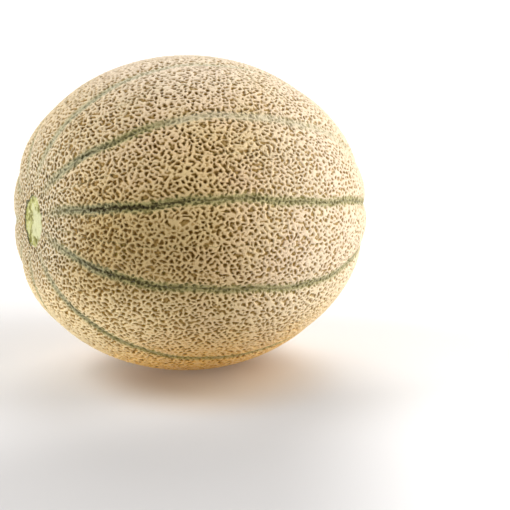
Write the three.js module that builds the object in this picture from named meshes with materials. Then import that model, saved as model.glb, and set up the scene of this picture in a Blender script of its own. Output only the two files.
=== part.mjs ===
// A whole netted cantaloupe melon, lying on its side with the stem end a little higher.
// Millimetres, +Z up, the stem end towards -X. The origin is on the resting plane, under the middle
// of the fruit. The fruit grew as one piece, so it is one solid: an oval body with ten ribs between
// shallow sutures, a raised corky net broken by small pits, the oval scar where the stem slipped off,
// the small button of the blossom end, and the flat spot that it lies on.
// The net is about two and a half times as coarse as life, so that each cord and pit keeps its shape.

import * as THREE from "three";
import { ConvexHull } from "three/addons/math/ConvexHull.js";

// The oval body
const GIRTH_RADIUS = 75; // half the thickness at the widest place
const BLOSSOM_LENGTH = 88.4; // from the widest place to the blossom end
const STEM_FLATTENING = 0.093; // share of that length by which the stem end is shorter and blunter
const FLATTENING_POWER = 9; // how closely the flattening keeps to the stem end
const STEM_RISE = THREE.MathUtils.degToRad(4.8); // how far the stem end is tipped up
const MEAN_RADIUS = 78;

// Ribs and sutures: bearings are turned about the axis, from the top towards -Y
const SUTURE_BEARINGS = [8.1, 40.9, 73.2, 106.2, 144.5, 184, 218, 256, 292, 331].map(THREE.MathUtils.degToRad);
const SUTURE_SWAY = THREE.MathUtils.degToRad(0.9); // how far each one sways from its bearing, in a slow wave
const SWAY_LENGTH = 14; // distance along the surface for each radian of that wave
const SWAY_PHASES = [-2.4, -2.4, -3.1, 2.7, 1.2, 0.4, -1.5, 2, -0.6, 1.7];
const RIB_RISE = 0.7; // how far a rib's back stands above its edges
const SUTURE_DEPTH = 1.2;
const SUTURE_HALF_WIDTH = 2.4; // from the bottom to the shoulder on each side
const SUTURE_STEP = 8; // between the points along a suture's lines
const SUTURE_FROM_STEM = 24; // how far from each end the sutures stop, along the surface
const SUTURE_FROM_BLOSSOM = 21;
const SUTURE_FADE = 8; // they die out over twice this length
const SUTURE_WAVER = 0.35; // how far a suture's points stray from that wave

// The net
const PIT_SITES = 1400; // sites spread over the whole body, before the bare places are left out
const SITE_JITTER = 0.35;
const PIT_DEPTH = 2.2;
const PIT_RADIUS = [2.65, 3.15]; // least and greatest half-width
const PIT_STRETCH = [1, 1.15]; // least and greatest length over width
const PIT_CORNERS = [4, 4, 5];
const CORD_UNEVENNESS = 0.3;
const BARE_BY_SUTURE = 5.3; // no pit's middle comes closer than this to a suture's bottom

// The scar of the stem: an oval, taller than wide, sunk within a low cork rim
const SCAR_HALF_HEIGHT = 11.8;
const SCAR_HALF_WIDTH = 10.4;
const SCAR_ABOVE_POLE = -1.4;
const SCAR_BESIDE_POLE = -3.6; // along Y
const SCAR_CORNERS = 20;
const SCAR_RIM_RISE = 0.5;
const SCAR_DEPTH = 1.3;
const SCAR_FLOOR_SHARE = 0.84; // size of the sunken floor over the rim's
const SCAR_MARGIN = 4.5; // bare strip round the rim

// The button of the blossom end
const BUTTON_RADIUS = 4.6;
const BUTTON_CORNERS = 12;
const BUTTON_RISE = 0.7;
const BUTTON_DIMPLE = 0.6;
const BUTTON_MARGIN = 3.5;

// The flat spot underneath
const SPOT_DEPTH = 1.25; // how much of the round body the flat spot takes off
const SPOT_RADIUS = 12;
const SPOT_CORNERS = 10;
const SPOT_MARGIN = 4;

const GOLDEN_ANGLE = Math.PI * (3 - Math.sqrt(5));
const STEM_POLE = new THREE.Vector3(-1, 0, 0);
const BLOSSOM_POLE = new THREE.Vector3(1, 0, 0);
const SCAR_MIDDLE = new THREE.Vector3(-MEAN_RADIUS, SCAR_BESIDE_POLE, SCAR_ABOVE_POLE).normalize();

// Seeded random numbers from 0 to 1
let seed = 4171;
function random() {
  seed = (seed + 0x6d2b79f5) | 0;
  let t = Math.imul(seed ^ (seed >>> 15), 1 | seed);
  t = (t + Math.imul(t ^ (t >>> 7), 61 | t)) ^ t;
  return ((t ^ (t >>> 14)) >>> 0) / 2 ** 32;
}
const between = ([least, greatest]) => THREE.MathUtils.lerp(least, greatest, random());

// A unit direction stands for each place on the fruit.
function directionAt(polarAngle, bearing) {
  const across = Math.sin(polarAngle);
  return new THREE.Vector3(-Math.cos(polarAngle), -across * Math.sin(bearing), across * Math.cos(bearing));
}

// The direction reached by going some millimetres over the surface, at a turn from the parallels
function near(direction, distance, turn) {
  const pole = Math.abs(direction.x) > 0.99 ? new THREE.Vector3(0, 1, 0) : BLOSSOM_POLE;
  const alongParallel = new THREE.Vector3().crossVectors(pole, direction).normalize();
  const alongMeridian = new THREE.Vector3().crossVectors(direction, alongParallel);
  const angle = distance / MEAN_RADIUS;
  return direction
    .clone()
    .addScaledVector(alongParallel, angle * Math.cos(turn))
    .addScaledVector(alongMeridian, angle * Math.sin(turn))
    .normalize();
}

const distanceBetween = (a, b) => a.angleTo(b) * MEAN_RADIUS;

// The bearing of a suture at some distance from the stem's pole
function sutureBearing(number, fromStem) {
  return SUTURE_BEARINGS[number] + SUTURE_SWAY * Math.sin(fromStem / SWAY_LENGTH + SWAY_PHASES[number]);
}

// How far a place is from the nearest suture's bottom, and that as a share of the way to mid-rib
function sutureAt(direction) {
  const bearing = Math.atan2(-direction.y, direction.z);
  const across = Math.hypot(direction.y, direction.z);
  const fromStem = distanceBetween(direction, STEM_POLE);
  const gaps = SUTURE_BEARINGS.map((_, number) => {
    const gap = bearing - sutureBearing(number, fromStem);
    return Math.abs(THREE.MathUtils.euclideanModulo(gap + Math.PI, 2 * Math.PI) - Math.PI);
  }).sort((a, b) => a - b);
  return { distance: gaps[0] * across * GIRTH_RADIUS, share: (2 * gaps[0]) / (gaps[0] + gaps[1]) };
}

// 1 along a suture, fading to 0 where it dies out towards either end
function sutureStrength(direction) {
  const pastStemEnd = distanceBetween(direction, STEM_POLE) - SUTURE_FROM_STEM;
  const pastBlossomEnd = distanceBetween(direction, BLOSSOM_POLE) - SUTURE_FROM_BLOSSOM;
  return THREE.MathUtils.smoothstep(Math.min(pastStemEnd, pastBlossomEnd), -SUTURE_FADE, SUTURE_FADE);
}

// The ribbed body's own surface, with a rise above it or a fall below it
function surfacePoint(direction, rise) {
  const cosine = -direction.x;
  const flattening = cosine > 0 ? STEM_FLATTENING * cosine ** FLATTENING_POWER : 0;
  const point = new THREE.Vector3(
    -BLOSSOM_LENGTH * (cosine - flattening),
    GIRTH_RADIUS * direction.y,
    GIRTH_RADIUS * direction.z,
  );
  const suture = sutureAt(direction);
  const strength = sutureStrength(direction);
  const ribBack = RIB_RISE * Math.sin((suture.share * Math.PI) / 2);
  const groove = SUTURE_DEPTH * Math.max(0, 1 - suture.distance / SUTURE_HALF_WIDTH);
  const lift = rise + strength * (ribBack - groove);
  return point.multiplyScalar(1 + lift / point.length());
}

const places = []; // unit directions
const rises = new Map(); // each one's rise above the ribbed body
function add(direction, rise) {
  places.push(direction);
  rises.set(direction, rise);
}

function addSutures() {
  const from = SUTURE_FROM_STEM / MEAN_RADIUS;
  const to = Math.PI - SUTURE_FROM_BLOSSOM / MEAN_RADIUS;
  const steps = Math.round(((to - from) * MEAN_RADIUS) / SUTURE_STEP);
  for (let number = 0; number < SUTURE_BEARINGS.length; number++) {
    for (let i = 0; i <= steps; i++) {
      const polarAngle = THREE.MathUtils.lerp(from, to, i / steps);
      const onLine = directionAt(polarAngle, sutureBearing(number, polarAngle * MEAN_RADIUS));
      const waver = SUTURE_WAVER * (2 * random() - 1);
      for (const side of [-1, 0, 1]) add(near(onLine, waver + side * SUTURE_HALF_WIDTH, 0), 0);
    }
  }
}

function ring(middle, halfHeight, halfWidth, corners, rise) {
  for (let i = 0; i < corners; i++) {
    const turn = (2 * Math.PI * i) / corners;
    const up = (halfHeight / MEAN_RADIUS) * Math.cos(turn);
    const across = (halfWidth / MEAN_RADIUS) * Math.sin(turn);
    add(new THREE.Vector3(middle.x, middle.y + across, middle.z + up).normalize(), rise);
  }
}

function addStemScar() {
  ring(SCAR_MIDDLE, SCAR_HALF_HEIGHT, SCAR_HALF_WIDTH, SCAR_CORNERS, SCAR_RIM_RISE);
  const height = SCAR_HALF_HEIGHT * SCAR_FLOOR_SHARE;
  const width = SCAR_HALF_WIDTH * SCAR_FLOOR_SHARE;
  ring(SCAR_MIDDLE, height, width, SCAR_CORNERS, -SCAR_DEPTH);
  add(SCAR_MIDDLE.clone(), -SCAR_DEPTH);
}

function addBlossomButton() {
  ring(BLOSSOM_POLE, BUTTON_RADIUS, BUTTON_RADIUS, BUTTON_CORNERS, 0);
  ring(BLOSSOM_POLE, BUTTON_RADIUS * 0.7, BUTTON_RADIUS * 0.7, BUTTON_CORNERS, BUTTON_RISE);
  add(BLOSSOM_POLE.clone(), -BUTTON_DIMPLE);
}

// The middle of the flat spot: the place that is lowest once the stem end is tipped up
const lowest = new THREE.Vector3(
  BLOSSOM_LENGTH * Math.sin(STEM_RISE),
  0,
  -GIRTH_RADIUS * Math.cos(STEM_RISE),
).normalize();

function addFlatSpot() {
  add(lowest, 0);
  for (let i = 0; i < SPOT_CORNERS; i++) add(near(lowest, SPOT_RADIUS, (2 * Math.PI * i) / SPOT_CORNERS), 0);
}

// Whether the net leaves a place bare
function isBare(direction) {
  const up = ((direction.z - SCAR_MIDDLE.z) * MEAN_RADIUS) / (SCAR_HALF_HEIGHT + SCAR_MARGIN);
  const across = ((direction.y - SCAR_MIDDLE.y) * MEAN_RADIUS) / (SCAR_HALF_WIDTH + SCAR_MARGIN);
  const onScar = direction.x < 0 && Math.hypot(up, across) < 1;
  const onButton = distanceBetween(direction, BLOSSOM_POLE) < BUTTON_RADIUS + BUTTON_MARGIN;
  const onSpot = distanceBetween(direction, lowest) < SPOT_RADIUS + SPOT_MARGIN;
  const onSuture = sutureAt(direction).distance < BARE_BY_SUTURE && sutureStrength(direction) > 0.3;
  return onScar || onButton || onSpot || onSuture;
}

// One pit: a crooked ring of corners at the height of the cords, round one low point
function addPit(middle) {
  const radius = between(PIT_RADIUS);
  const stretch = between(PIT_STRETCH);
  const lie = random() * Math.PI;
  const corners = PIT_CORNERS[Math.floor(random() * PIT_CORNERS.length)];
  add(middle, -PIT_DEPTH);
  for (let i = 0; i < corners; i++) {
    const turn = (2 * Math.PI * (i + 0.5 * (random() - 0.5))) / corners;
    const x = radius * stretch * Math.cos(turn);
    const y = radius * Math.sin(turn);
    const corner = near(middle, Math.hypot(x, y), Math.atan2(y, x) + lie);
    add(corner, CORD_UNEVENNESS * (random() - 0.5));
  }
}

// The sites follow a golden-angle spiral from pole to pole, each moved a little at random.
function addNet() {
  for (let i = 0; i < PIT_SITES; i++) {
    const polarAngle = Math.acos(1 - (2 * i + 1) / PIT_SITES);
    const onSpiral = directionAt(polarAngle, i * GOLDEN_ANGLE);
    const site = near(onSpiral, SITE_JITTER * Math.sqrt(random()), 2 * Math.PI * random());
    if (!isBare(site)) addPit(site);
  }
}

// The places, joined into triangles as their hull on the unit sphere is, at their real distances
function melonGeometry() {
  addSutures();
  addStemScar();
  addBlossomButton();
  addFlatSpot();
  addNet();
  const numbers = new Map(places.map((place, i) => [place, i]));
  const triangles = [];
  for (const face of new ConvexHull().setFromPoints(places).faces) {
    for (let corner = 0; corner < 3; corner++) triangles.push(numbers.get(face.getEdge(corner).head().point));
  }
  const positions = places.flatMap((place) => surfacePoint(place, rises.get(place)).toArray());
  const geometry = new THREE.BufferGeometry();
  geometry.setAttribute("position", new THREE.Float32BufferAttribute(positions, 3));
  geometry.setIndex(triangles);
  geometry.rotateY(STEM_RISE);
  return geometry;
}

// Lowers the body onto the resting plane, flattens what would lie under it, and centres it there.
function setDown(geometry) {
  const body = new THREE.Vector3(BLOSSOM_LENGTH * Math.sin(STEM_RISE), 0, GIRTH_RADIUS * Math.cos(STEM_RISE));
  geometry.translate(0, 0, body.length() - SPOT_DEPTH);
  const position = geometry.getAttribute("position");
  for (let i = 0; i < position.count; i++) position.setZ(i, Math.max(0, position.getZ(i)));
  geometry.computeBoundingBox();
  const middle = geometry.boundingBox.getCenter(new THREE.Vector3());
  geometry.translate(-middle.x, -middle.y, 0);
  geometry.computeVertexNormals();
  return geometry;
}

const rind = new THREE.MeshStandardMaterial({
  color: 0xcdb586,
  roughness: 0.85,
  metalness: 0,
  flatShading: true,
});
const melon = new THREE.Mesh(setDown(melonGeometry()), rind);
melon.name = "melon";

const fruit = new THREE.Group();
fruit.add(melon);

export default fruit;
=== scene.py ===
# %% [markdown]
# # A netted cantaloupe melon
# The frame holds the melon as one plain faceted solid. This lesson loads it, and then grows a
# finer rind in its place: ribs, sutures, a raised corky net, the scar of the stem and the blossom
# end. Everything is in metres, and the melon stays where the frame puts it.

# %% Load the frame
import math

import bmesh
import bpy
import numpy as np
from mathutils import Matrix, Vector, kdtree
from mathutils import noise as noise_at


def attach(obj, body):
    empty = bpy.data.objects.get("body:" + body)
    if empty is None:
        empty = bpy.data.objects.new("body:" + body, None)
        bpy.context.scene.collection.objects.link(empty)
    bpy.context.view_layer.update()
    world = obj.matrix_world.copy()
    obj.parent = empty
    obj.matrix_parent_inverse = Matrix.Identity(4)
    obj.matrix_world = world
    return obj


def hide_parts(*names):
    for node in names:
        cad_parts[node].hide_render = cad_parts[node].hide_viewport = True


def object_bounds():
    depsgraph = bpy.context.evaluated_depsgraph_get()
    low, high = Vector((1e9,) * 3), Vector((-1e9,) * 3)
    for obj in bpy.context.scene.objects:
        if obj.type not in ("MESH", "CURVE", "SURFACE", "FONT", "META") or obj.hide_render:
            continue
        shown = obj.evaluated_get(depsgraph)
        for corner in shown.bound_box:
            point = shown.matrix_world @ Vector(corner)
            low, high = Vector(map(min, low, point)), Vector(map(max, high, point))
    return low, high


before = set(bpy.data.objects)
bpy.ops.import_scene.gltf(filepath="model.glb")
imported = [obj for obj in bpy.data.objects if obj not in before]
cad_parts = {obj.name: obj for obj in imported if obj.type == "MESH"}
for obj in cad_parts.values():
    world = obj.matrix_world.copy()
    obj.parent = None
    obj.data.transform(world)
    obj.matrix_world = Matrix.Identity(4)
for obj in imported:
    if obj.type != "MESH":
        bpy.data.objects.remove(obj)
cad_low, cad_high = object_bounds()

MM = 0.001
scene = bpy.context.scene
print("CAD box in mm:", [round(c / MM, 1) for c in (*cad_low, *cad_high)])

# %% [markdown]
# ## The oval body
# A melon grows almost as a ball of revolution. Its girth is round, its blossom end is half an
# ellipse, and its stem end is a little shorter and blunter. One formula that turns a direction
# into a point is enough, and every later step can ask it for a place on the skin. The stem end
# points towards -X and is tipped up a little, which is how such a fruit comes to rest.

# %% Driving dimensions of the body
GIRTH_RADIUS = 75 * MM
BLOSSOM_LENGTH = 88.4 * MM
STEM_FLATTENING = 0.093
FLATTENING_POWER = 9
STEM_RISE = math.radians(4.8)
MEAN_RADIUS = 78 * MM
SPOT_DEPTH = 1.25 * MM
WIDEST_TO_MIDDLE = 3.9 * MM

lowest_reach = math.hypot(BLOSSOM_LENGTH * math.sin(STEM_RISE), GIRTH_RADIUS * math.cos(STEM_RISE))
body_centre = Vector(
    (
        (cad_low.x + cad_high.x) / 2 - WIDEST_TO_MIDDLE,
        (cad_low.y + cad_high.y) / 2,
        cad_low.z + lowest_reach - SPOT_DEPTH,
    )
)
print("middle of the widest place, mm:", [round(c / MM, 1) for c in body_centre])

# %% [markdown]
# ## Camera
# The melon is seen from a little above, through a long lens, as in a product picture. A camera
# can be aimed by hand or with a Track To constraint, but three known directions (right, up and
# back) make its matrix at once and need no constraint. It aims to the right of the fruit and
# below it.

# %% Camera
AZIMUTH = math.radians(-25.87)
ELEVATION = math.radians(15)
CAMERA_DISTANCE = 1.057
IMAGE_SIDE = 510
FOCAL_PIXELS = 2200
SENSOR_WIDTH = 36
AIM_RIGHT = 32.3 * MM
AIM_DOWN = 20.3 * MM


def new_object(name, data):
    made = bpy.data.objects.new(name, data)
    scene.collection.objects.link(made)
    return made


view_back = Vector(
    (
        math.sin(AZIMUTH) * math.cos(ELEVATION),
        -math.cos(AZIMUTH) * math.cos(ELEVATION),
        math.sin(ELEVATION),
    )
)
view_right = Vector((math.cos(AZIMUTH), math.sin(AZIMUTH), 0))
view_up = view_back.cross(view_right)

camera_data = bpy.data.cameras.new("camera")
camera_data.sensor_width = SENSOR_WIDTH
camera_data.lens = SENSOR_WIDTH * FOCAL_PIXELS / IMAGE_SIDE
camera = new_object("camera", camera_data)
aim = body_centre + AIM_RIGHT * view_right - AIM_DOWN * view_up
facing = Matrix((view_right, view_up, view_back)).transposed().to_4x4()
camera.matrix_world = Matrix.Translation(aim + CAMERA_DISTANCE * view_back) @ facing
scene.camera = camera
print("lens, mm:", round(camera_data.lens, 1))

# %% [markdown]
# ## The floor
# A pale floor that runs on past the picture's edge needs no backdrop. It is one big plane,
# because it has no shape of its own: a curved sheet of paper would only show where it bends.

# %% Floor
FLOOR_SIZE = 24
FLOOR_DROP = 0.05 * MM

floor_shape = bmesh.new()
bmesh.ops.create_grid(floor_shape, x_segments=1, y_segments=1, size=FLOOR_SIZE / 2)
bmesh.ops.translate(floor_shape, verts=floor_shape.verts, vec=(0, 0, cad_low.z - FLOOR_DROP))
floor_mesh = bpy.data.meshes.new("floor")
floor_shape.to_mesh(floor_mesh)
floor_shape.free()
floor = new_object("floor", floor_mesh)
print("floor is below the fruit by, mm:", FLOOR_DROP / MM)

# %% [markdown]
# ## Node helpers
# Materials are built from a few kinds of nodes over and over. These helpers add a node, wire what
# it reads, and give back its output, so that a material can be read as a formula.

# %% Node helpers
def new_material(name):
    global tree
    made = bpy.data.materials.new(name)
    made.use_nodes = True
    tree = made.node_tree
    return made, tree.nodes["Principled BSDF"].inputs


def srgb(r, g, b):
    def one(c):
        c /= 255
        return c / 12.92 if c <= 0.04045 else ((c + 0.055) / 1.055) ** 2.4

    return (one(r), one(g), one(b), 1)


def wire(value, socket):
    if isinstance(value, bpy.types.NodeSocket):
        tree.links.new(value, socket)
    else:
        socket.default_value = value


def node(kind, result, inputs, **settings):
    made = tree.nodes.new(kind)
    for name, value in settings.items():
        setattr(made, name, value)
    for name, value in inputs.items():
        wire(value, made.inputs[name])
    return made.outputs[result]


def calc(operation, a, b=0.0, c=0.0):
    return node("ShaderNodeMath", 0, {0: a, 1: b, 2: c}, operation=operation)


def ease(value, low, high):
    inputs = {0: value, 1: low, 2: high}
    return node("ShaderNodeMapRange", 0, inputs, interpolation_type="SMOOTHSTEP")


def blend(share, a, b):
    return node("ShaderNodeMix", 2, {0: share, 6: a, 7: b}, data_type="RGBA")


def object_place():
    return node("ShaderNodeTexCoord", "Object", {})


def noise(scale, detail=2.0, roughness=0.5):
    inputs = {"Vector": object_place(), "Scale": scale, "Detail": detail, "Roughness": roughness}
    return node("ShaderNodeTexNoise", "Fac", inputs)

# %% [markdown]
# ## Floor paint
# The paper's colour is painted light and shade: painted shade makes it greyest near the camera,
# and painted light makes it lighter on the right and nearly white far behind, where more of the
# light reaches. Each of these is a blend along one direction, and a dot product tells how far a
# point lies along it. Studios often lay fruit on a milky table with a lamp underneath, which lifts
# the shadow. A weak emission does the same here: the paper glows, though it is no lamp. Close
# round the resting spot both the paper and its glow turn warm, a painted reflection of light that
# has been on the rind first.

# %% Floor paint
NEAR_PAINTED_SHADE = (0.4, 0.387, 0.38, 1)
MIDDLE_PAINTED_SHADE = (0.62, 0.606, 0.6, 1)
RIGHT_PAINTED_LIGHT = (0.7, 0.688, 0.68, 1)
FAR_PAINTED_LIGHT = (0.85, 0.85, 0.85, 1)
NEAR_GREY_ENDS = (-0.13, 0.02)
RIGHT_GREY_BEGINS = (0.03, 0.13)
FAR_WHITE_BEGINS = (0.1, 0.16)
GREY_SLANT = 0.6
PAINTED_BOUNCE = (0.46, 0.38, 0.3, 1)
BLUSH_RIGHT = 8 * MM
BLUSH_IN_FRONT = 28 * MM
BLUSH_FADES = (0.07, 0.02)
GLOW = (1, 0.98, 0.96, 1)
PAINTED_BOUNCE_GLOW = (0.62, 0.5, 0.38, 1)
GLOW_STRENGTH = 0.2
PAPER_ROUGHNESS = 0.7
PAPER_SPECULAR = 0.2


def place_along(direction):
    inputs = {0: object_place(), 1: direction}
    return node("ShaderNodeVectorMath", "Value", inputs, operation="DOT_PRODUCT")


view_behind = Vector((-math.sin(AZIMUTH), math.cos(AZIMUTH), 0))
paper, paper_inputs = new_material("floor_paper")
slanted = place_along(view_behind - GREY_SLANT * view_right)
# Painted shade greys the paper near the camera, and painted light whitens it on the right and far
# behind.
grey = blend(ease(slanted, *NEAR_GREY_ENDS), NEAR_PAINTED_SHADE, MIDDLE_PAINTED_SHADE)
grey = blend(ease(place_along(view_right), *RIGHT_GREY_BEGINS), grey, RIGHT_PAINTED_LIGHT)
grey = blend(ease(place_along(view_behind), *FAR_WHITE_BEGINS), grey, FAR_PAINTED_LIGHT)
# A painted reflection: paper and glow turn warm round the resting spot, as from light off the
# rind.
blush_middle = BLUSH_RIGHT * view_right - BLUSH_IN_FRONT * view_behind
from_blush = {0: object_place(), 1: blush_middle}
from_blush = node("ShaderNodeVectorMath", "Value", from_blush, operation="DISTANCE")
painted_bounce_share = ease(from_blush, *BLUSH_FADES)
wire(blend(painted_bounce_share, grey, PAINTED_BOUNCE), paper_inputs["Base Color"])
wire(blend(painted_bounce_share, GLOW, PAINTED_BOUNCE_GLOW), paper_inputs["Emission Color"])
paper_inputs["Emission Strength"].default_value = GLOW_STRENGTH
paper_inputs["Roughness"].default_value = PAPER_ROUGHNESS
paper_inputs["Specular IOR Level"].default_value = PAPER_SPECULAR
floor_mesh.materials.append(paper)
print("nodes in the paper:", len(tree.nodes))

# %% [markdown]
# ## Light
# Everything is soft here: wide disk lamps on both sides, of which the widest, on the right, gives
# the most, and a big one far behind, which only whitens the floor there. The side that faces the
# camera gets little direct light and lives on what the floor throws back. So the fruit is darkest
# in the middle, which painted shade on the rind's middle band deepens, and that is what makes it
# look round. A table holds the lamps, because they differ only in numbers: each is placed from the
# middle of the fruit, in metres, and aimed back at it. The plain Standard view transform keeps the
# white floor white.

# %% Lights
LAMPS = (
    # name, to the right, behind, up, size, power in watts, aimed this far behind the fruit
    ("key_light", 0.92, 0, 0.92, 0.7, 6.4, 0),
    ("high_left_light", -0.92, 0, 0.92, 0.7, 8.6, 0),
    ("right_light", 1.24, 0, 0.39, 1.3, 22.5, 0),
    ("left_light", -1.24, 0, 0.39, 0.7, 3.6, 0),
    ("low_light", -0.95, -0.6, 0.08, 0.5, 7.2, 0),
    ("back_light", 0, 2.4, 1.8, 2, 50, 1.4),
)
WORLD_STRENGTH = 0.03

for name, right, behind, up, size, power, aimed_behind in LAMPS:
    light = bpy.data.lights.new(name, "AREA")
    light.shape = "DISK"
    light.size = size
    light.energy = power
    lamp = new_object(name, light)
    offset = right * view_right + behind * view_behind + up * Vector((0, 0, 1))
    lamp.location = body_centre + offset
    towards = aimed_behind * view_behind - offset
    lamp.rotation_euler = towards.to_track_quat("-Z", "Y").to_euler()

world = bpy.data.worlds.new("studio")
world.use_nodes = True
world_inputs = world.node_tree.nodes["Background"].inputs
world_inputs["Color"].default_value = (1, 1, 1, 1)
world_inputs["Strength"].default_value = WORLD_STRENGTH
scene.world = world
scene.view_settings.view_transform = "Standard"
print("lamps:", len(LAMPS), "power in watts:", sum(lamp[5] for lamp in LAMPS))

# %% [markdown]
# ## A fine and even ball
# The net needs small faces of one size all over the fruit. A UV sphere bunches its faces at the
# poles, so the ball starts as an icosphere, whose triangles are nearly alike, and each edge is
# then cut in five with a grid fill.

# %% Fine ball
ICO_SUBDIVISIONS = 6
EDGE_CUTS = 4

ball = bmesh.new()
bmesh.ops.create_icosphere(ball, subdivisions=ICO_SUBDIVISIONS, radius=1)
bmesh.ops.subdivide_edges(ball, edges=ball.edges, cuts=EDGE_CUTS, use_grid_fill=True)
melon_mesh = bpy.data.meshes.new("rind")
ball.to_mesh(melon_mesh)
ball.free()
vertex_count = len(melon_mesh.vertices)
print("vertices:", vertex_count, "faces:", len(melon_mesh.polygons))

# %% [markdown]
# ## Directions
# The ball only lends its vertices. Their directions are read into one numpy array, which is far
# quicker than a Python loop over a quarter of a million vertices, and they are made exactly one
# long, since subdividing has left the new ones a little inside the sphere.

# %% Directions
directions = np.empty(vertex_count * 3)
melon_mesh.vertices.foreach_get("co", directions)
directions = directions.reshape(-1, 3)
directions /= np.linalg.norm(directions, axis=1, keepdims=True)
print("directions:", len(directions))

# %% [markdown]
# ## Where each vertex lies on the fruit
# A vertex is described by the way it is seen from inside: its bearing about the axis, how far it
# is from the stem's pole and from the nearest suture. These numbers drive the shape now, and they
# are kept on the mesh as attributes, so that the material can follow them too.

# %% Bearings and distances
def smoothstep(low, high, x):
    t = np.clip((x - low) / (high - low), 0, 1)
    return t * t * (3 - 2 * t)


bearing = np.arctan2(-directions[:, 1], directions[:, 2])
across = np.hypot(directions[:, 1], directions[:, 2])
from_stem = np.arccos(np.clip(-directions[:, 0], -1, 1)) * MEAN_RADIUS
from_blossom = math.pi * MEAN_RADIUS - from_stem
lowest = Vector((BLOSSOM_LENGTH * math.sin(STEM_RISE), 0, -GIRTH_RADIUS * math.cos(STEM_RISE)))
lowest.normalize()
from_ground = np.arccos(np.clip(directions @ np.array(lowest), -1, 1)) * MEAN_RADIUS
print("farthest from the ground, mm:", round(from_ground.max() / MM))

# %% [markdown]
# ## Sutures
# Ten shallow furrows run from the stem to the blossom. They could be curves laid on the skin, but
# each keeps nearly one bearing, so a list of bearings and a slow and a quick sway say where they
# run. What every vertex needs is its distance from the nearest one, with a sign for the side it
# lies on. They fade out before both poles.

# %% Sutures
SUTURE_BEARINGS = np.radians([8.1, 40.9, 73.2, 106.2, 144.5, 184, 218, 256, 292, 331])
SUTURE_SWAY = math.radians(0.9)
SWAY_LENGTH = 14 * MM
SWAY_PHASES = np.array([-2.4, -2.4, -3.1, 2.7, 1.2, 0.4, -1.5, 2, -0.6, 1.7])
SUTURE_RIPPLE = math.radians(0.3)
RIPPLE_LENGTH = 4.5 * MM
SUTURE_FROM_STEM = 26 * MM
SUTURE_FROM_BLOSSOM = 21 * MM
SUTURE_FADE = 16 * MM

paths = SUTURE_BEARINGS + SUTURE_SWAY * np.sin(from_stem[:, None] / SWAY_LENGTH + SWAY_PHASES)
paths += SUTURE_RIPPLE * np.sin(from_stem[:, None] / RIPPLE_LENGTH + 3 * SWAY_PHASES)
gaps = (bearing[:, None] - paths + math.pi) % (2 * math.pi) - math.pi
nearest = np.argmin(np.abs(gaps), axis=1)
suture_side = gaps[np.arange(vertex_count), nearest] * across * GIRTH_RADIUS
sorted_gaps = np.sort(np.abs(gaps), axis=1)
suture_share = 2 * sorted_gaps[:, 0] / (sorted_gaps[:, 0] + sorted_gaps[:, 1])
suture_strength = smoothstep(-SUTURE_FADE, SUTURE_FADE, from_stem - SUTURE_FROM_STEM)
suture_strength *= smoothstep(-SUTURE_FADE, SUTURE_FADE, from_blossom - SUTURE_FROM_BLOSSOM)
print("mean distance to a suture, mm:", round(np.abs(suture_side).mean() / MM, 1))

# %% [markdown]
# ## Outline of the stem scar
# The stem has let go and left a roundish scar near the pole. A cut-out patch of mesh would need
# edges that follow its outline, so the outline is a signed distance instead: below zero inside
# the scar, above it outside. An oval formula gives it, slightly pointed above and below, and a
# fractal noise makes it ragged.

# %% Stem scar
SCAR_HALF_HEIGHT = 11.8 * MM
SCAR_HALF_WIDTH = 11.6 * MM
SCAR_ABOVE_POLE = -1.4 * MM
SCAR_BESIDE_POLE = -2.4 * MM
SCAR_POINTEDNESS = 0.1
SCAR_RAG = 1.6 * MM
RAG_LENGTH = 2.8 * MM
RAG_REACH = 5 * MM
RAG_FRACTAL = (0.8, 2, 3)  # increment factor, lacunarity, octaves
POINT_POWER = 8
TINY = 1e-9

scar_up = directions[:, 2] * MEAN_RADIUS - SCAR_ABOVE_POLE
scar_across = directions[:, 1] * MEAN_RADIUS - SCAR_BESIDE_POLE
oval = np.hypot(scar_up / SCAR_HALF_HEIGHT, scar_across / SCAR_HALF_WIDTH) + TINY
oval /= 1 + SCAR_POINTEDNESS * (np.abs(scar_up / SCAR_HALF_HEIGHT) / oval) ** POINT_POWER
from_scar = (oval - 1) * np.hypot(scar_up, scar_across) / oval
from_scar = np.where(directions[:, 0] < 0, from_scar, from_stem)
for i in np.flatnonzero(from_scar < RAG_REACH):
    spot = Vector(directions[i]) * (MEAN_RADIUS / RAG_LENGTH)
    from_scar[i] += SCAR_RAG * noise_at.fractal(spot, *RAG_FRACTAL)
print("vertices inside the scar:", int((from_scar < 0).sum()))

# %% [markdown]
# ## Laying out the pits
# The net of a cantaloupe is cork that has filled cracks in the skin, and the bare skin left
# between the cracks shows as small pits. A Voronoi diagram of evenly spread points gives such a
# mesh of cords, with one pit round each point. The points follow a golden-angle spiral from pole
# to pole, and each is then moved a little, so that no spiral can be seen.

# %% Pit middles
NET_SEED = 12
PIT_SPACING = 2.25 * MM
STEM_SPACING_SHARE = 1.05
SITE_JITTER = 0.4
GOLDEN_ANGLE = math.pi * (3 - math.sqrt(5))
HEXAGONAL = math.sqrt(3) / 2
STEM_ZONE = (14 * MM, 50 * MM)
BANDS = 4000


def pit_spacing(stem_distance):
    closer = 1 - smoothstep(*STEM_ZONE, stem_distance)
    return PIT_SPACING * (1 + (STEM_SPACING_SHARE - 1) * closer)


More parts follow.
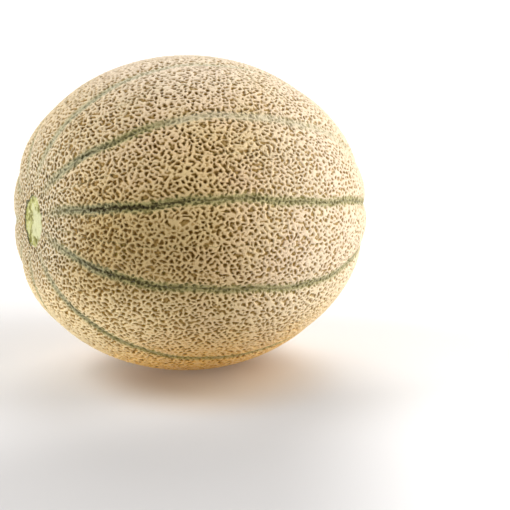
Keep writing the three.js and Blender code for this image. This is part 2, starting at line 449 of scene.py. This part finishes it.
angles = np.linspace(0, math.pi, BANDS)
band_middles = (angles[1:] + angles[:-1]) / 2
band_areas = 2 * math.pi * MEAN_RADIUS**2 * np.sin(band_middles) * np.diff(angles)
pits_in_band = band_areas / (HEXAGONAL * pit_spacing(band_middles * MEAN_RADIUS) ** 2)
pits_so_far = np.concatenate(([0], np.cumsum(pits_in_band)))
pit_count = int(pits_so_far[-1])
polar = np.interp(np.arange(pit_count) + 0.5, pits_so_far, angles)
turn = np.arange(pit_count) * GOLDEN_ANGLE
wide = np.sin(polar)
pits = np.stack((-np.cos(polar), -wide * np.sin(turn), wide * np.cos(turn)), axis=1)
rng = np.random.default_rng(NET_SEED)
stray = SITE_JITTER / math.sqrt(3) * pit_spacing(polar * MEAN_RADIUS)
pits = pits * MEAN_RADIUS + rng.normal(0, 1, pits.shape) * stray[:, None]
print("pits:", pit_count)

# %% [markdown]
# ## Joining some pits
# Left like that, every pit would be a neat round cell. On the fruit many have run together into
# slits, bends and Y shapes. So six in ten of them are given a partner among their three nearest,
# and the cord between the two is left out. The cords that stay differ in width. Every vertex asks
# a KD tree for the nearest pit middles. Where the two nearest are equally far, it lies on a cord,
# and half the difference is its distance from the cord's middle line. A little noise on the place
# that asks makes the cords crooked. The vector noise takes its seed from the clock unless it is
# given one, and then every run would bend the cords another way.

# %% Cords
NEAREST = 5
JOINED_SHARE = 0.6
PARTNER_CHOICE = 3
CORD_CROOK = 0.55 * MM
CROOK_LENGTH = 2.6 * MM
FAR_FROM_CORDS = 1.8 * MM
CORD_VARIETY = 0.45

pit_tree = kdtree.KDTree(pit_count)
for i, pit in enumerate(pits):
    pit_tree.insert(pit, i)
pit_tree.balance()
lots = rng.random(pit_count)
partners = np.empty(pit_count, dtype=np.int64)
for i, pit in enumerate(pits):
    nearby = pit_tree.find_n(pit, PARTNER_CHOICE + 1)
    partners[i] = nearby[rng.integers(1, PARTNER_CHOICE + 1)][1]
partners = np.where(lots < JOINED_SHARE, partners, -1)

noise_at.seed_set(NET_SEED)
near_pits = np.empty((vertex_count, NEAREST), dtype=np.int64)
pit_distances = np.empty((vertex_count, NEAREST))
for v in range(vertex_count):
    place = Vector(directions[v]) * MEAN_RADIUS
    place += noise_at.noise_vector(place / CROOK_LENGTH) * CORD_CROOK
    for n, (_, i, distance) in enumerate(pit_tree.find_n(place, NEAREST)):
        near_pits[v, n] = i
        pit_distances[v, n] = distance
own, others = near_pits[:, :1], near_pits[:, 1:]
joined = (partners[own] == others) | (partners[others] == own)
from_cords = (pit_distances[:, 1:] - pit_distances[:, :1]) / 2
from_cords *= 1 + CORD_VARIETY * (2 * ((lots[own] + lots[others]) % 1) - 1)
from_cord = np.where(joined, FAR_FROM_CORDS, from_cords).min(axis=1)
from_cord = np.minimum(from_cord, FAR_FROM_CORDS)
spans = np.quantile(from_cord, (0.1, 0.5, 0.9)) / MM
print("distance from a cord's middle, mm:", spans.round(2))

# %% [markdown]
# ## Healing the net
# The cords are drawn, but they meet at sharp corners and end in cut tips. Comparing the net with
# a blurred copy of itself mends that, the way spots and stripes form on skins: what stands out
# from its surroundings grows, the rest sinks, and every cord and pit comes out rounded and about
# as wide as the next. A blur on a mesh is a vertex drawn towards the mean of its neighbours, a
# few times over.

# %% Neighbours
edges = np.empty(len(melon_mesh.edges) * 2, dtype=np.int64)
melon_mesh.edges.foreach_get("vertices", edges)
edges = edges.reshape(-1, 2)
sources = np.concatenate((edges[:, 0], edges[:, 1]))
targets = np.concatenate((edges[:, 1], edges[:, 0]))
targets = targets[np.argsort(sources, kind="stable")]
valence = np.bincount(sources, minlength=vertex_count)
starts = np.concatenate(([0], np.cumsum(valence)[:-1]))


def spread(field, steps, rate):
    for _ in range(steps):
        neighbours = np.add.reduceat(field[targets], starts) / valence
        field = field + rate * (neighbours - field)
    return field


print("mean number of neighbours:", round(valence.mean(), 2))

# %% [markdown]
# ## Heights of the net
# A bias lifts the whole net near the blossom and at the top, which makes pits small there, and
# lowers it round the stem, where they are large. Some pits are also made shallower by lot. The
# heights are then squashed with tanh, so that no cord or pit goes far past the others, and
# stretched so that nearly all of them lie between 0, the bottom of a pit, and 1, the crest of a
# cord.

# %% Net
CORD_HALF_WIDTH = 0.4 * MM
EDGE_SOFTNESS = 0.2 * MM
SPREAD_RATE = 0.35
FAR_STEPS = 3
CREST_STEPS = 1
HEIGHT_RATE = 0.2
NET_GAIN = 12
CORD_BIAS = 1.5
QUIET_BIAS = 0.9
STEM_BIAS = 1.3
BLOSSOM_ZONE = (95 * MM, 150 * MM)
TOP_ZONE = (160 * MM, 220 * MM)
TOP_SHARE = 0.7
SHALLOWEST = 0.3
SHALLOW_POWER = 1.5
SHUFFLE = 7
ROUNDING = 3.5
PIT_QUANTILE = 0.06
CREST_QUANTILE = 0.97
RELIEF_LIMITS = (-0.2, 1.2)

net = np.tanh((CORD_HALF_WIDTH - from_cord) / EDGE_SOFTNESS)
far = spread(net, FAR_STEPS, SPREAD_RATE)
to_blossom = smoothstep(*BLOSSOM_ZONE, from_stem)
to_top = smoothstep(*TOP_ZONE, from_ground)
bias = CORD_BIAS + QUIET_BIAS * np.maximum(to_blossom, TOP_SHARE * to_top)
bias -= STEM_BIAS * (1 - smoothstep(*STEM_ZONE, from_stem))
height = spread(NET_GAIN * (net - far) + bias, 1, HEIGHT_RATE)
shallowness = SHALLOWEST * (lots[own[:, 0]] * SHUFFLE % 1) ** SHALLOW_POWER
height = np.where(height < 0, height * (1 - shallowness), height)
crests = spread(np.tanh(height / ROUNDING), CREST_STEPS, SPREAD_RATE)
pit_level, crest_level = np.quantile(crests, (PIT_QUANTILE, CREST_QUANTILE))
relief = np.clip((crests - pit_level) / (crest_level - pit_level), *RELIEF_LIMITS)
print("share of cord:", round((relief > 0.5).mean(), 2))
print("heights before squashing:", np.quantile(height, (0.02, 0.5, 0.98)).round(2))

# %% [markdown]
# ## Shaping the rind
# A ripening melon swells most between its sutures, so the body gets a soft rib between every two
# of them and a narrow groove in a shallow valley along each. The ellipsoid itself is a little
# flattened at the stem end. All of this only changes how far a vertex is lifted off the smooth
# body.

# %% Shape
RIB_RISE = 0.7 * MM
SUTURE_DEPTH = 0.55 * MM
SUTURE_HALF_WIDTH = 2.2 * MM
VALLEY_DEPTH = 0.35 * MM
VALLEY_HALF_WIDTH = 5 * MM
CORD_TOP = -0.2 * MM
NET_DEPTH = 1.15 * MM
CORD_ROUNDNESS = 0.8

cosine = -directions[:, 0]
flattening = np.where(cosine > 0, STEM_FLATTENING * np.clip(cosine, 0, 1) ** FLATTENING_POWER, 0)
body = np.stack(
    (
        -BLOSSOM_LENGTH * (cosine - flattening),
        GIRTH_RADIUS * directions[:, 1],
        GIRTH_RADIUS * directions[:, 2],
    ),
    axis=1,
)
rib_back = RIB_RISE * np.sin(suture_share * math.pi / 2)
groove = SUTURE_DEPTH * np.exp(-((suture_side / SUTURE_HALF_WIDTH) ** 2))
groove += VALLEY_DEPTH * np.exp(-((suture_side / VALLEY_HALF_WIDTH) ** 2))
lift = CORD_TOP + suture_strength * (rib_back - groove)
print("ribs and sutures lift by, mm:", (np.quantile(lift, (0, 0.5, 1)) / MM).round(2))

# %% [markdown]
# ## Depth of the net
# Cork is laid down for as long as the crack under it gapes, so the pits are deepest on the
# flanks. They are fainter by the blossom and round the stem, and almost none are left on the side
# the melon lay on. Those shares are stored instead of used right away, for a reason given further
# down.

# %% Net depth
SUTURE_NET_SHARE = 0.45
SUTURE_NET_ZONE = (0.6 * MM, 3.2 * MM)
SCAR_NET_ZONE = (-0.4 * MM, 1.2 * MM)
BUTTON_RADIUS = 4.6 * MM
BUTTON_NET_ZONE = (0.8 * BUTTON_RADIUS, 2.5 * BUTTON_RADIUS)
BLOSSOM_FILLING = 0.35
STEM_FILLING = 0.6
STEM_FILLED = (16 * MM, 50 * MM)
GROUND_FILLING = 0.8
GROUND_FILLED = (16 * MM, 60 * MM)

beside_suture = smoothstep(*SUTURE_NET_ZONE, np.abs(suture_side))
net_depth = NET_DEPTH * (SUTURE_NET_SHARE + (1 - SUTURE_NET_SHARE) * beside_suture)
net_depth = NET_DEPTH + suture_strength * (net_depth - NET_DEPTH)
net_depth *= smoothstep(*SCAR_NET_ZONE, from_scar)
net_depth *= smoothstep(*BUTTON_NET_ZONE, from_blossom)
depth_share = 1 - BLOSSOM_FILLING * to_blossom
depth_share *= 1 - STEM_FILLING + STEM_FILLING * smoothstep(*STEM_FILLED, from_stem)
depth_share *= 1 - GROUND_FILLING + GROUND_FILLING * smoothstep(*GROUND_FILLED, from_ground)
cord = np.clip(relief, 0, 1) ** CORD_ROUNDNESS
lift -= net_depth * (1 - cord)
print("mean share of the depth that stays:", depth_share.mean().round(2))

# %% [markdown]
# ## Scar and button
# At full slip the stem lets go of the fruit and leaves a shallow oval hollow with torn fibres in
# it. Its floor slopes a little, and a low lip runs round it. At the other end a small dimpled
# button is all that is left of the flower.

# %% Scar and button
SCAR_LIP = 0.2 * MM
LIP_PLACE = 0.9 * MM
LIP_WIDTH = 0.8 * MM
SCAR_DEPTH = 1.1 * MM
SCAR_WALL = 1.3 * MM
SCAR_LEVEL = 0.55
SCAR_TILT = 0.45
FIBRE_HEIGHT = 0.25 * MM
FIBRE_LENGTH = 2.2 * MM
FIBRE_FRACTAL = (1, 2, 3)
BUTTON_RISE = 0.55 * MM
BUTTON_DIMPLE = 0.7 * MM
RING_PLACE = 0.75
RING_WIDTH = 0.3
DIMPLE_ZONE = (0.5, 0.1)

lift += SCAR_LIP * np.exp(-(((from_scar - LIP_PLACE) / LIP_WIDTH) ** 2))
tilt = SCAR_LEVEL + SCAR_TILT * np.clip(scar_across / SCAR_HALF_WIDTH, -1, 1)
lift -= SCAR_DEPTH * tilt * smoothstep(0, -SCAR_WALL, from_scar)
for i in np.flatnonzero(from_scar < 0):
    spot = Vector(directions[i]) * (MEAN_RADIUS / FIBRE_LENGTH)
    depth_in = min(1, -from_scar[i] / SCAR_WALL)
    lift[i] += FIBRE_HEIGHT * depth_in * noise_at.fractal(spot, *FIBRE_FRACTAL)
ring = from_blossom / BUTTON_RADIUS
lift += BUTTON_RISE * np.exp(-(((ring - RING_PLACE) / RING_WIDTH) ** 2))
lift -= BUTTON_DIMPLE * smoothstep(*DIMPLE_ZONE, ring)
print("lowest and highest lift, mm:", (lift.min() / MM).round(2), (lift.max() / MM).round(2))

# %% [markdown]
# ## Writing the points
# The lifts become points, turned so that the stem end looks slightly upwards. What the paint will
# need later, like the distance to the nearest suture or to the scar, is kept on the vertices as
# float attributes in millimetres. Attributes outlive most modifiers and need no unwrapping.

# %% Points
SUTURE_DARKNESS = np.array([0.2, 0.7, 1, 0.9, 0.55, 0.5, 0.7, 0.4, 0.8, 0.5])
SUTURE_PALING = np.array([0.9, 1.0, 0.3, 0.3, 0.4, 0.5, 0.6, 0.4, 0.7, 0.5])
PALING_ZONE = (70 * MM, 115 * MM)
DARKENING_ZONE = (32 * MM, 60 * MM)
STEM_DARKNESS = 0.5
KEPT_HEIGHT = 4
NET_MIDDLE = 0.5
NET_SCALE = 0.25
SMOOTH_ACROSS = (0.5, -0.2)
SMOOTH_UP = (0.85, 0.35)
SMOOTH_MIDDLE = -0.1

length = np.linalg.norm(body, axis=1, keepdims=True)
points = body * (1 + lift[:, None] / length)
spin = np.array(Matrix.Rotation(STEM_RISE, 3, "Y"))
points = points @ spin.T + np.array(body_centre)
melon_mesh.vertices.foreach_set("co", points.ravel())
melon_mesh.update()


def keep(name, values):
    layer = melon_mesh.attributes.new(name, "FLOAT", "POINT")
    layer.data.foreach_set("value", np.asarray(values, dtype=np.float32))


paling = SUTURE_PALING[nearest] * smoothstep(*PALING_ZONE, from_stem)
darkening = STEM_DARKNESS + (1 - STEM_DARKNESS) * smoothstep(*DARKENING_ZONE, from_stem)
smooth_part = smoothstep(*SMOOTH_ACROSS, scar_across / SCAR_HALF_WIDTH)
smooth_part *= smoothstep(*SMOOTH_UP, np.abs(scar_up / SCAR_HALF_HEIGHT - SMOOTH_MIDDLE))
keep("net", NET_MIDDLE + NET_SCALE * np.clip(height, -KEPT_HEIGHT, KEPT_HEIGHT))
keep("settle_mm", net_depth * (1 - depth_share) * (1 - cord) / MM)
keep("suture_mm", suture_side / MM)
keep("suture_strength", suture_strength)
keep("suture_paling", paling)
keep("suture_darkness", SUTURE_DARKNESS[nearest] * (1 - paling) * darkening)
keep("scar_smooth", smooth_part)
keep("scar_across_mm", scar_across / MM)
keep("stem_mm", from_stem / MM)
keep("scar_mm", from_scar / MM)
keep("ground_mm", from_ground / MM)
melon = new_object("rind", melon_mesh)
for face in melon_mesh.polygons:
    face.use_smooth = True
print("attributes:", len(melon_mesh.attributes))

# %% [markdown]
# ## Thinning
# Half a million triangles are more than the shape needs. Decimate in its collapse mode takes them
# out of the flat places first and leaves them on the edges of the cords, where they count.

# %% Thin
TRIANGLES = 198000

thin = melon.modifiers.new("thin", "DECIMATE")
thin.ratio = TRIANGLES / len(melon_mesh.polygons)
graph = bpy.context.evaluated_depsgraph_get()
thinned = bpy.data.meshes.new_from_object(melon.evaluated_get(graph))
melon.modifiers.clear()
melon.data = thinned
bpy.data.meshes.remove(melon_mesh)
melon_mesh = thinned
melon_mesh.name = "rind"
print("thinned to", len(melon_mesh.polygons), "triangles")

# %% [markdown]
# ## Settling the net
# Had the net been made shallow by the stem and on the ground side before thinning, Decimate would
# have seen a nearly flat field there and wiped out the pattern the paint reads. So it is made
# shallow only now, by lifting the pits by the amount stored in each vertex. The spot the melon
# rests on is pressed flat at the same time.

# %% Settle
thin_count = len(melon_mesh.vertices)
spots = np.empty(thin_count * 3)
melon_mesh.vertices.foreach_get("co", spots)
spots = spots.reshape(-1, 3) - np.array(body_centre)
settle = np.empty(thin_count)
melon_mesh.attributes["settle_mm"].data.foreach_get("value", settle)
spots *= 1 + (settle * MM / np.linalg.norm(spots, axis=1))[:, None]
spots += np.array(body_centre)
spots[:, 2] = np.maximum(spots[:, 2], cad_low.z)
melon_mesh.vertices.foreach_set("co", spots.ravel())
melon_mesh.update()
print("pits filled by up to", round(settle.max(), 2), "mm")

# %% [markdown]
# ## Skin
# One material covers the melon, as one skin does. It reads the attributes, plus noise in the
# object's own coordinates, so the paint stays put when the melon is moved or scaled. A fine grit
# is added to the height of the net before any colour is chosen, which gives every edge a rough
# line.

# %% Skin
GRIT_HEIGHT = 1.4


def attribute(name):
    return node("ShaderNodeAttribute", "Fac", {}, attribute_name=name)


def scaled(value, factor, offset):
    return calc("MULTIPLY_ADD", value, factor, offset)


def centred(value, height):
    return scaled(value, height, -height / 2)


def both(a, b):
    return calc("MULTIPLY", a, b)


skin, skin_inputs = new_material("rind_skin")
stem = attribute("stem_mm")
ground = attribute("ground_mm")
grit = noise(1500, 3, 0.6)
level = calc("ADD", attribute("net"), centred(grit, GRIT_HEIGHT))
print("nodes so far:", len(tree.nodes))

# %% [markdown]
# ## Cork and pits
# Cork is a dry tan colour and the skin in the pits is olive and brown. Five colours over the
# height of the net are enough for that. The palest of them, along the crests, is partly a painted
# highlight, and the dark ring round each pit floor is partly painted shade on the pit walls. The
# top and the blossom end get a painted highlight, a band round the middle gets painted shade, and
# the greyer stem end and the orange ground spot are zones as well: each is a share worked out from
# the distances kept on the vertices, and pulls some of the five colours towards its own by a given
# amount.

# %% Cork and pits
COLOUR_STEPS = (
    ("pit", -0.46, -0.26),
    ("rim", -0.2, 0.3),
    ("flank", 0.3, 0.9),
    ("crest", 0.8, 1.1),
)
MID_HEIGHT = 122


def tint(zone, **parts):
    for part, (amount, *colour) in parts.items():
        cork[part] = blend(both(zone, amount), cork[part], srgb(*colour))


patch = noise(45, 3)
patches = ease(patch, 0.35, 0.65)
olive = calc("ADD", noise(120, 2), scaled(ground, -0.004, 0.32))
# The crest colour is pale cork with a painted highlight, and the dark pit colour round the pit
# floor is olive skin with painted shade on the pit walls.
cork = {
    "pit_floor": blend(ease(olive, 0.3, 0.5), srgb(150, 112, 30), srgb(164, 144, 44)),
    "pit": blend(ease(olive, 0.36, 0.56), srgb(108, 74, 16), srgb(110, 94, 20)),
    "rim": srgb(164, 132, 68),
    "flank": blend(patches, srgb(192, 156, 94), srgb(196, 158, 102)),
    "crest": blend(patches, srgb(224, 196, 142), srgb(228, 196, 150)),
}
stained = ease(noise(60, 3), 0.57, 0.66)
tint(stained, pit=(1, 72, 38, 24), pit_floor=(1, 84, 50, 34), flank=(0.6, 176, 132, 106))
# Painted shade: flanks and crests darker in a band round the middle height of the fruit.
off_middle = calc("ABSOLUTE", calc("SUBTRACT", ground, MID_HEIGHT))
middle_painted_shade = both(ease(off_middle, 45, 10), ease(stem, 135, 75))
tint(middle_painted_shade, flank=(0.9, 162, 130, 74), crest=(0.9, 202, 176, 122))
# Painted highlight: flanks and crests paler and greyer on the top and towards the blossom end.
pale = calc("MAXIMUM", ease(stem, 100, 160), ease(ground, 165, 225))
tint(pale, flank=(0.6, 222, 202, 172), crest=(0.6, 236, 220, 199))
golden = ease(stem, 85, 140)
tint(golden, pit=(0.7, 144, 108, 40), pit_floor=(0.7, 160, 128, 58))
low_pale = both(ease(ground, 118, 78), scaled(ease(stem, 78, 108), -0.6, 1))
tint(low_pale, flank=(0.9, 230, 195, 134), crest=(0.9, 252, 231, 182))
tint(low_pale, pit=(0.9, 164, 120, 24), pit_floor=(0.9, 184, 152, 46))
shoulder = both(ease(stem, 105, 55), ease(ground, 142, 172))
tint(shoulder, flank=(0.5, 184, 162, 126), crest=(0.5, 220, 203, 170))
near_stem = ease(stem, 60, 20)
greyed = both(near_stem, scaled(low_pale, -0.4, 0.8))
tint(greyed, flank=(1, 180, 165, 134), crest=(1, 222, 210, 184))
tint(near_stem, pit=(1, 62, 52, 26), pit_floor=(1, 84, 74, 40))
on_ground = ease(calc("ADD", ground, centred(patch, 30)), 92, 38)
on_ground = both(on_ground, ease(stem, 62, 100))
tint(on_ground, flank=(0.9, 246, 178, 62), crest=(0.8, 254, 208, 112), rim=(0.6, 190, 126, 44))
colour = cork["pit_floor"]
for part, begins, ends in COLOUR_STEPS:
    colour = blend(ease(level, begins, ends), colour, cork[part])
print("nodes so far:", len(tree.nodes))

# %% [markdown]
# ## Sutures in colour
# No cork forms in a suture, so the green skin shows there. Each suture is a soft margin, a band
# and a dark core, all with edges torn by the grit and by the cords that reach in. A noise
# stretched along the suture draws its fibres. Some sutures are darker than others, and most turn
# pale towards the blossom end.

# %% Sutures in colour
DARK_FIBRES = (srgb(116, 112, 50), srgb(156, 152, 96))
STEM_FIBRES = (srgb(104, 106, 72), srgb(158, 158, 124))
PALE_FIBRES = (srgb(160, 156, 122), srgb(200, 194, 164))
FADED_FIBRES = (srgb(190, 182, 150), srgb(216, 206, 180))
GROUND_BAND = srgb(158, 148, 66)
MARGIN = srgb(172, 164, 108)
CORE = srgb(54, 44, 0)
MARGIN_EDGE = (4.6, 1.2)
BAND_EDGE = (2, 0.4)
CORE_EDGE = (0.8, -0.7)
MARGIN_SHARE = 0.45
BAND_SHARE = 0.75

strength = attribute("suture_strength")
darkness = attribute("suture_darkness")
paling = attribute("suture_paling")
suture = attribute("suture_mm")
along = node("ShaderNodeCombineXYZ", 0, {0: suture, 1: both(stem, 0.2)})
streak = node("ShaderNodeTexNoise", "Fac", {"Vector": along, "Scale": 0.8, "Detail": 3})
fibres = ease(streak, 0.35, 0.65)
shown = both(strength, scaled(paling, -0.4, 1))
ragged = calc("ADD", calc("ABSOLUTE", suture), centred(grit, 2))
ragged = calc("ADD", ragged, centred(level, 0.8))
margin = both(ease(ragged, *MARGIN_EDGE), both(shown, MARGIN_SHARE))
colour = blend(margin, colour, MARGIN)
width = calc("MAXIMUM", darkness, calc("MAXIMUM", both(paling, 0.8), 0.7))
band = ease(calc("MULTIPLY_ADD", width, -1.5, ragged), *BAND_EDGE)
band = both(band, both(shown, BAND_SHARE))
dark_band = blend(ease(stem, 75, 50), blend(fibres, *DARK_FIBRES), blend(fibres, *STEM_FIBRES))
pale_band = blend(paling, blend(fibres, *PALE_FIBRES), blend(fibres, *FADED_FIBRES))
pale_band = blend(ease(ground, 110, 60), pale_band, GROUND_BAND)
colour = blend(band, colour, blend(ease(darkness, 0.1, 0.6), pale_band, dark_band))
core = calc("ADD", ragged, centred(streak, 2))
core = calc("MULTIPLY_ADD", darkness, -1.2, core)
core_share = calc("MULTIPLY_ADD", paling, -0.5, calc("MAXIMUM", darkness, 0.5))
core_share = both(strength, calc("MAXIMUM", core_share, 0))
colour = blend(both(ease(core, *CORE_EDGE), core_share), colour, CORE)
print("nodes so far:", len(tree.nodes))

# %% [markdown]
# ## Scar in colour
# The torn tissue of the scar stays fresh and green longer than the cork. One side of it is smooth
# and pale, the other mottled, and a painted shade makes its far edge nearly black.

# %% Scar in colour
MOTTLES = (srgb(116, 112, 30), srgb(184, 182, 108))
TORN_FIBRES = srgb(206, 204, 152)
SMOOTH_FLESH = srgb(200, 199, 152)
PAINTED_SCAR_SHADE = srgb(52, 46, 4)

mottle = noise(200, 2, 0.5)
mottled = blend(ease(mottle, 0.4, 0.56), *MOTTLES)
mottled = blend(ease(noise(420, 4, 0.6), 0.5, 0.66), mottled, TORN_FIBRES)
smoothness = calc("ADD", attribute("scar_smooth"), scaled(mottle, 3.2, -1.55))
flesh = blend(ease(smoothness, 0.2, 0.8), mottled, SMOOTH_FLESH)
rough_scar = calc("ADD", attribute("scar_mm"), centred(grit, GRIT_HEIGHT))
# Painted shade: the far edge just inside the scar turns nearly black, most on one side.
painted_shade_side = scaled(ease(attribute("scar_across_mm"), -4, 4), 0.75, 0.15)
flesh = blend(both(ease(rough_scar, -1, -0.4), painted_shade_side), flesh, PAINTED_SCAR_SHADE)
colour = blend(ease(rough_scar, 0.2, -0.1), colour, flesh)
print("nodes so far:", len(tree.nodes))

# %% [markdown]
# ## Button in colour
# The button has healed over with plain brown cork, so one colour with a soft edge covers the
# net's colours there.

# %% Button in colour
BUTTON_BROWN = srgb(150, 116, 76)
BUTTON_SHARE = 0.8
BUTTON_EDGE = (6.5, 4)

blossom = calc("SUBTRACT", math.pi * MEAN_RADIUS / MM, stem)
colour = blend(both(ease(blossom, *BUTTON_EDGE), BUTTON_SHARE), colour, BUTTON_BROWN)
print("nodes in all:", len(tree.nodes))

# %% [markdown]
# ## Finish
# Dry cork is dull and a little dusty. So the skin is rough, its shine is weak, and a faint sheen
# lightens it where it turns away. The bump node shades the grain that is too small to be
# modelled.

# %% Finish
SKIN_ROUGHNESS = 0.6
SKIN_SPECULAR = 0.2
SHEEN_WEIGHT = 0.25
SHEEN_ROUGHNESS = 0.4
GRAIN_DEPTH = 0.3 * MM

wire(colour, skin_inputs["Base Color"])
skin_inputs["Roughness"].default_value = SKIN_ROUGHNESS
skin_inputs["Specular IOR Level"].default_value = SKIN_SPECULAR
skin_inputs["Sheen Weight"].default_value = SHEEN_WEIGHT
skin_inputs["Sheen Roughness"].default_value = SHEEN_ROUGHNESS
grain = {"Strength": 1, "Distance": GRAIN_DEPTH, "Height": level}
wire(node("ShaderNodeBump", "Normal", grain), skin_inputs["Normal"])
melon_mesh.materials.clear()
melon_mesh.materials.append(skin)
print("links in the skin:", len(tree.links))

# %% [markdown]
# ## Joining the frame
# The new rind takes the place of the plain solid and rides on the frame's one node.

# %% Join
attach(melon, "root")
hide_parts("melon")
